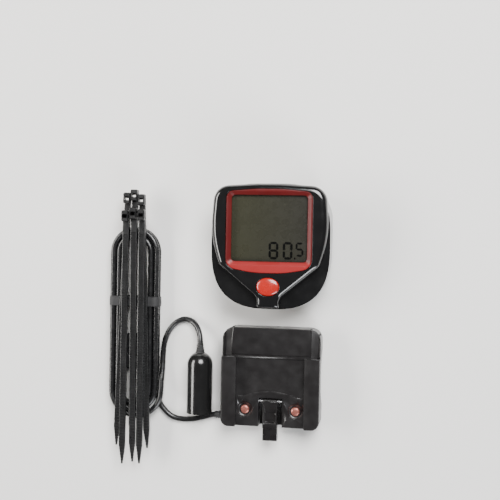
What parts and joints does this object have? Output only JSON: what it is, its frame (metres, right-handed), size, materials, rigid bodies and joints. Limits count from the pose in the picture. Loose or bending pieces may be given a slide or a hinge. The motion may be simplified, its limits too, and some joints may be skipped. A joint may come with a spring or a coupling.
{
  "type": "cycling computer",
  "caption": "Wired cycling computer laid out flat: shield-shaped head with display and button, handlebar bracket, wheel sensor on coiled cable, ties and spoke magnet.",
  "frame": {"origin": "on the handlebar's axis, at the middle of the bracket's width", "axes": "+X along the handlebar, +Y from the bracket to the head, +Z away from the handlebar towards the display"},
  "size_m": [0.0889, 0.111, 0.0211],
  "materials": {
    "gloss_black_plastic": "gloss",
    "black_plastic": "satin",
    "red_plastic": "gloss",
    "clear_acrylic": "gloss",
    "lcd_glass": "gloss",
    "lcd_ink": "matte",
    "reflector_foil": "satin",
    "rubber": "matte",
    "circuit_board": "satin",
    "components": "satin",
    "steel": "satin",
    "brass": "satin",
    "copper_pins": "satin",
    "wire_insulation": "satin",
    "cable_jacket": "gloss",
    "tie_nylon": "satin",
    "glass_capsule": "gloss",
    "magnet_metal": "satin"
  },
  "bodies": {
    "bracket": {"bracket_base": "black_plastic", "latch_pin": "steel", "contact_spring_left": "steel", "contact_spring_right": "steel", "contact_terminals": "brass", "terminal_wires": "wire_insulation", "terminal_cover": "black_plastic", "saddle_pad": "rubber", "bracket_strain_relief": "cable_jacket", "bracket_lead": "cable_jacket", "sensor_lead": "cable_jacket", "cable_hank": "cable_jacket", "hank_tie": "tie_nylon", "sensor_housing": "black_plastic", "sensor_cap": "black_plastic", "reed_switch": "glass_capsule", "sensor_strain_relief": "cable_jacket", "sensor_pad": "rubber", "cable_ties": "tie_nylon", "magnet_holder": "black_plastic", "magnet": "magnet_metal", "magnet_clip": "steel"},
    "button": {"mode_button": "red_plastic"},
    "battery_door": {"battery_cover": "black_plastic"},
    "latch": {"release_latch": "black_plastic"},
    "pin_left": {"contact_pin_left": "copper_pins"},
    "pin_right": {"contact_pin_right": "copper_pins"},
    "head": {"front_shell": "gloss_black_plastic", "bezel_frame": "red_plastic", "lens": "clear_acrylic", "lcd_glass": "lcd_glass", "lcd_digits": "lcd_ink", "lcd_reflector": "reflector_foil", "zebra_strips": "rubber", "circuit_board": "circuit_board", "board_components": "components", "snap_dome": "steel", "key_membrane": "rubber", "rear_shell": "black_plastic", "case_gasket": "rubber", "case_screws": "steel", "battery_cell": "steel", "battery_seal": "rubber", "battery_contacts": "brass", "head_contacts": "copper_pins"}
  },
  "joints": [
    {"name": "head_slide", "type": "slide", "parent": "bracket", "child": "head", "axis": [0, -1, 0], "range_m": [0, 0.048]},
    {"name": "button_press", "type": "slide", "parent": "head", "child": "button", "axis": [0, 0, -1], "range_m": [0, 0.0008], "stiffness_N_per_m": 900, "springref_m": -0.0004},
    {"name": "battery_cover_turn", "type": "hinge", "parent": "head", "child": "battery_door", "pos_m": [0, 0.053, 0.0156], "axis": [0, 0, 1], "range_deg": [0, 45]},
    {"name": "latch_flex", "type": "hinge", "parent": "bracket", "child": "latch", "pos_m": [0, -0.0092, 0.0143], "axis": [1, 0, 0], "range_deg": [0, 8], "stiffness_Nm_per_rad": 0.05, "springref_deg": -171.89},
    {"name": "pin_left_press", "type": "slide", "parent": "bracket", "child": "pin_left", "axis": [0, 0, -1], "range_m": [0, 0.0008], "stiffness_N_per_m": 900, "springref_m": -0.0004, "deforming": ["contact_spring_left"]},
    {"name": "pin_right_press", "type": "slide", "parent": "bracket", "child": "pin_right", "axis": [0, 0, -1], "range_m": [0, 0.0008], "stiffness_N_per_m": 900, "springref_m": -0.0004, "deforming": ["contact_spring_right"]}
  ]
}
